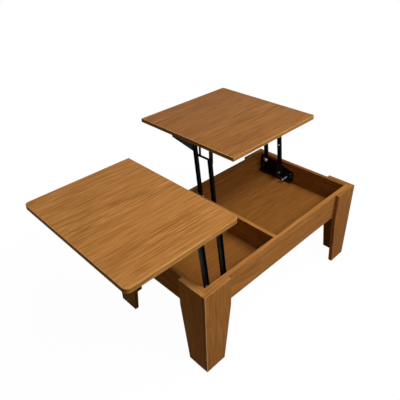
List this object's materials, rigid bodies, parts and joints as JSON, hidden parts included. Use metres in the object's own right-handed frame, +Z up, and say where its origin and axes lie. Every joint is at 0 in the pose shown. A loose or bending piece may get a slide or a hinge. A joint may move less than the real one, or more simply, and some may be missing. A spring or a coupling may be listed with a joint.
{
  "type": "convertible coffee dining table",
  "caption": "Low storage coffee table on tapered corner legs, with divided tops that lift and swing outwards on spring arms to dining height.",
  "frame": {"origin": "on the floor, under the middle of the opened table's box", "axes": "+X along the storage box towards the far end, +Y the way the far top swings out, +Z up"},
  "size_m": [1.3168, 0.8828, 0.6851],
  "materials": {
    "teak_board": "satin laminate, straight grain",
    "floor_board": "satin laminate, straight grain",
    "edge_band": "satin, wood coloured",
    "dowel_wood": "raw",
    "black_steel": "black powder coat",
    "zinc_steel": "bright zinc plate",
    "spring_steel": "oiled dark wire"
  },
  "bodies": {
    "frame": {"front_rail": "teak_board", "back_rail": "teak_board", "near_end_rail": "teak_board", "far_end_rail": "teak_board", "divider": "teak_board", "floor_panel": "floor_board", "front_near_leg_side": "teak_board", "front_near_leg_end": "teak_board", "front_far_leg_side": "teak_board", "front_far_leg_end": "teak_board", "back_near_leg_side": "teak_board", "back_near_leg_end": "teak_board", "back_far_leg_side": "teak_board", "back_far_leg_end": "teak_board", "box_dowels": "dowel_wood", "leg_dowels": "dowel_wood", "base_screws": "zinc_steel", "near_front_base_plate": "black_steel", "near_front_pivot_bolts": "zinc_steel", "near_front_spring": "spring_steel", "near_back_base_plate": "black_steel", "near_back_pivot_bolts": "zinc_steel", "near_back_spring": "spring_steel", "far_inner_base_plate": "black_steel", "far_inner_pivot_bolts": "zinc_steel", "far_inner_spring": "spring_steel", "far_outer_base_plate": "black_steel", "far_outer_pivot_bolts": "zinc_steel", "far_outer_spring": "spring_steel"},
    "near_lead_arms": {"near_front_lead_arm": "black_steel", "near_back_lead_arm": "black_steel"},
    "near_trail_arms": {"near_front_trail_arm": "black_steel", "near_back_trail_arm": "black_steel"},
    "near_top_set": {"near_top": "teak_board", "near_top_edging": "edge_band", "near_bracket_screws": "zinc_steel", "near_front_top_bracket": "black_steel", "near_front_top_rivets": "zinc_steel", "near_back_top_bracket": "black_steel", "near_back_top_rivets": "zinc_steel"},
    "far_lead_arms": {"far_inner_lead_arm": "black_steel", "far_outer_lead_arm": "black_steel"},
    "far_trail_arms": {"far_inner_trail_arm": "black_steel", "far_outer_trail_arm": "black_steel"},
    "far_top_set": {"far_top": "teak_board", "far_top_edging": "edge_band", "far_bracket_screws": "zinc_steel", "far_inner_top_bracket": "black_steel", "far_inner_top_rivets": "zinc_steel", "far_outer_top_bracket": "black_steel", "far_outer_top_rivets": "zinc_steel"}
  },
  "joints": [
    {"name": "near_lift", "type": "hinge", "parent": "frame", "child": "near_lead_arms", "pos_m": [-0.29962, -0.14138, 0.391], "axis": [0, 1, 0], "range_deg": [0, 96]},
    {"name": "near_trail_swing", "type": "hinge", "parent": "frame", "child": "near_trail_arms", "pos_m": [-0.20762, -0.14138, 0.349], "axis": [0, 1, 0], "range_deg": [0, 96], "deforming": ["near_front_spring", "near_back_spring"]},
    {"name": "near_top_level", "type": "hinge", "parent": "near_lead_arms", "child": "near_top_set", "pos_m": [-0.32638, -0.14138, 0.6456], "axis": [0, 1, 0], "range_deg": [-96, 0]},
    {"name": "far_lift", "type": "hinge", "parent": "frame", "child": "far_lead_arms", "pos_m": [0.34588, 0.06162, 0.391], "axis": [1, 0, 0], "range_deg": [0, 96]},
    {"name": "far_trail_swing", "type": "hinge", "parent": "frame", "child": "far_trail_arms", "pos_m": [0.34588, -0.03038, 0.349], "axis": [1, 0, 0], "range_deg": [0, 96], "deforming": ["far_inner_spring", "far_outer_spring"]},
    {"name": "far_top_level", "type": "hinge", "parent": "far_lead_arms", "child": "far_top_set", "pos_m": [0.34588, 0.08838, 0.6456], "axis": [1, 0, 0], "range_deg": [-96, 0]}
  ],
  "couplings": [
    {"joint": "near_trail_swing", "follows": "near_lift", "ratio": 1},
    {"joint": "near_top_level", "follows": "near_lift", "ratio": -1},
    {"joint": "far_trail_swing", "follows": "far_lift", "ratio": 1},
    {"joint": "far_top_level", "follows": "far_lift", "ratio": -1}
  ]
}
